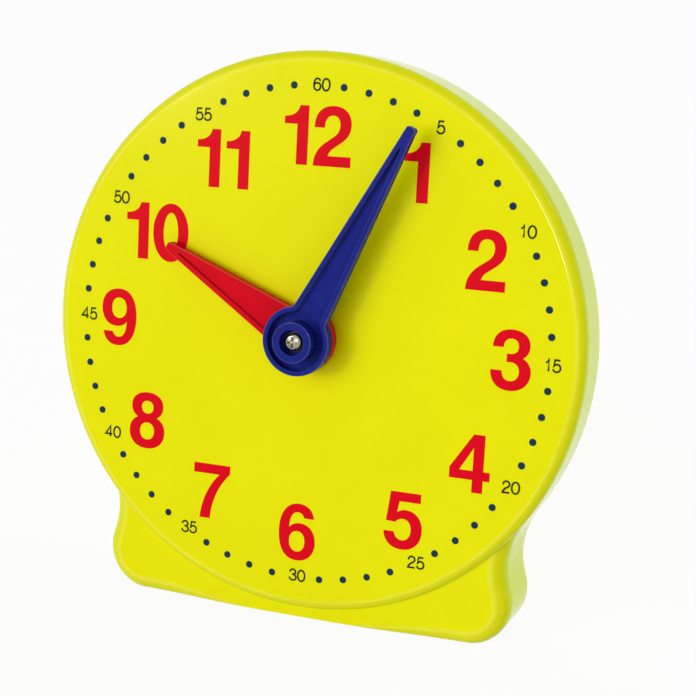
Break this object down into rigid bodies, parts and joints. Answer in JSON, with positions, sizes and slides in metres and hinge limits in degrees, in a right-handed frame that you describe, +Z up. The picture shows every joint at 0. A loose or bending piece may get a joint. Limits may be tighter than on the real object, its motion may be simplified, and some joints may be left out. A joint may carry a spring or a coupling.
{
  "type": "geared teaching clock",
  "caption": "Round teaching clock on a leaning foot; gears behind the numbered dial make the hour hand follow the minute hand.",
  "frame": {"origin": "centre of the flat sole, on the table", "axes": "+X to the right as seen from the front, +Y away from the viewer, +Z up; the dial faces -Y and leans back"},
  "size_m": [0.1236, 0.0325, 0.1245],
  "materials": {
    "yellow_plastic": "gloss",
    "red_plastic": "gloss",
    "blue_plastic": "gloss",
    "white_plastic": "satin",
    "brass": "satin",
    "steel": "satin",
    "spring_steel": "satin",
    "fibre": "matte"
  },
  "bodies": {
    "case": {"front_case": "yellow_plastic", "rear_cover": "yellow_plastic", "cover_screws": "steel", "gear_bridge": "white_plastic", "bridge_screws": "steel", "dial_bush": "brass", "bridge_bush": "brass", "transfer_pin": "steel", "transfer_washers": "fibre", "hour_washer": "fibre"},
    "minute_works": {"minute_arbor": "steel", "minute_pinion": "white_plastic", "friction_spring": "spring_steel", "arbor_clip": "spring_steel", "minute_hand": "blue_plastic", "hand_washer": "steel", "hand_screw": "steel"},
    "transfer_works": {"transfer_wheel": "white_plastic", "transfer_pinion": "white_plastic"},
    "hour_works": {"hour_wheel": "white_plastic", "hour_pipe": "brass", "hour_hand": "red_plastic"}
  },
  "joints": [
    {"name": "minute_turn", "type": "hinge", "parent": "case", "child": "minute_works", "pos_m": [0, -0.0009, 0.0638], "axis": [0, 0.9882, -0.153], "continuous": true},
    {"name": "transfer_turn", "type": "hinge", "parent": "case", "child": "transfer_works", "pos_m": [0, -0.00503, 0.03712], "axis": [0, 0.9882, -0.153], "continuous": true},
    {"name": "hour_turn", "type": "hinge", "parent": "case", "child": "hour_works", "pos_m": [0, -0.0009, 0.0638], "axis": [0, 0.9882, -0.153], "continuous": true}
  ],
  "couplings": [
    {"joint": "transfer_turn", "follows": "minute_turn", "ratio": -0.33333},
    {"joint": "hour_turn", "follows": "minute_turn", "ratio": 0.083333}
  ]
}
